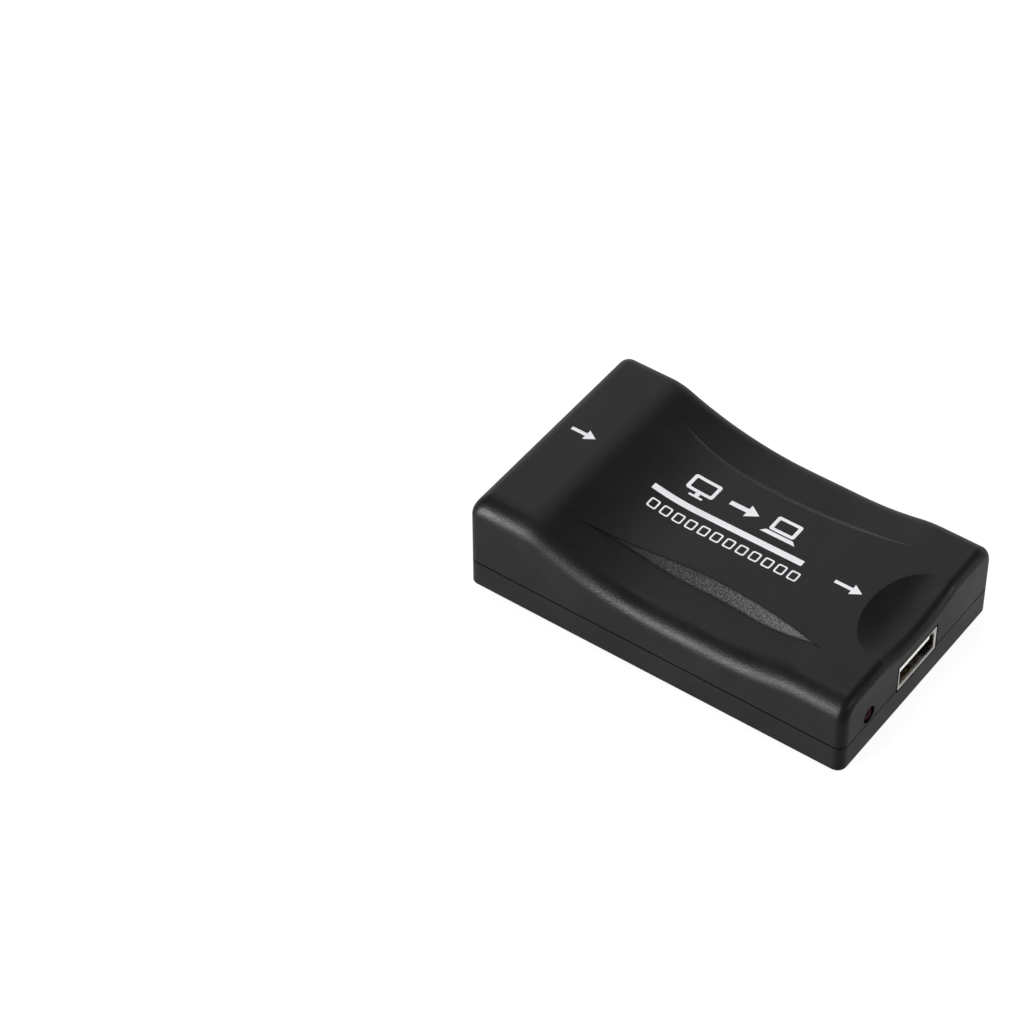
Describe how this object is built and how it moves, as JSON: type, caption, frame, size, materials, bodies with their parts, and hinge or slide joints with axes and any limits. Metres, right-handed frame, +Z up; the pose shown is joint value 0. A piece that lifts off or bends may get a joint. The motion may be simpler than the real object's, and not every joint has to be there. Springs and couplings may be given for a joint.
{
  "type": "usb video capture adapter",
  "caption": "Small moulded capture box: multi-way audio and video socket in its taller end, USB socket and lamp in its lower end, over a populated circuit board",
  "frame": {"origin": "middle of the underside of the case, on the surface that it stands on", "axes": "+X from the taller input end to the lower USB end, +Y across the case to the left of that, +Z up"},
  "size_m": [0.0854, 0.0528, 0.0231],
  "materials": {
    "case_plastic": "satin black moulded plastic with a fine grain",
    "screw_steel": "blackened or zinc-plated steel, recessed cross heads",
    "board_laminate": "green solder mask on glass laminate",
    "socket_plastic": "black glass-filled plastic",
    "plated_contact": "gold-flashed copper alloy",
    "plated_shell": "bright nickel-plated sheet",
    "tongue_plastic": "white moulded insulator",
    "lamp_lens": "dark red translucent resin, unlit",
    "chip_plastic": "black moulding compound",
    "tinned_lead": "matt tin",
    "can_metal": "bright drawn can",
    "resistor_body": "black glazed ceramic",
    "ceramic_body": "tan ceramic",
    "ferrite_body": "dark grey ferrite"
  },
  "bodies": {
    "root": {"top_shell": "case_plastic", "bottom_shell": "case_plastic", "case_screws": "screw_steel", "circuit_board": "board_laminate", "input_socket_body": "socket_plastic", "input_socket_contacts_upper": "plated_contact", "input_socket_contacts_lower": "plated_contact", "input_socket_screen": "plated_shell", "usb_shell": "plated_shell", "usb_insulator": "tongue_plastic", "usb_contacts": "plated_contact", "status_lamp": "lamp_lens", "status_lamp_leads": "tinned_lead", "decoder_chip": "chip_plastic", "decoder_leads": "tinned_lead", "bridge_chip": "chip_plastic", "bridge_pads": "tinned_lead", "audio_chip": "chip_plastic", "audio_leads": "tinned_lead", "memory_chip": "chip_plastic", "memory_leads": "tinned_lead", "voltage_regulator": "chip_plastic", "regulator_leads": "tinned_lead", "crystal_base": "can_metal", "crystal_can": "can_metal", "capacitor_bases": "chip_plastic", "capacitor_cans": "can_metal", "chip_resistors": "resistor_body", "resistor_ends": "tinned_lead", "ceramic_capacitors": "ceramic_body", "ceramic_ends": "tinned_lead", "ferrite_beads": "ferrite_body", "bead_ends": "tinned_lead"}
  },
  "joints": []
}
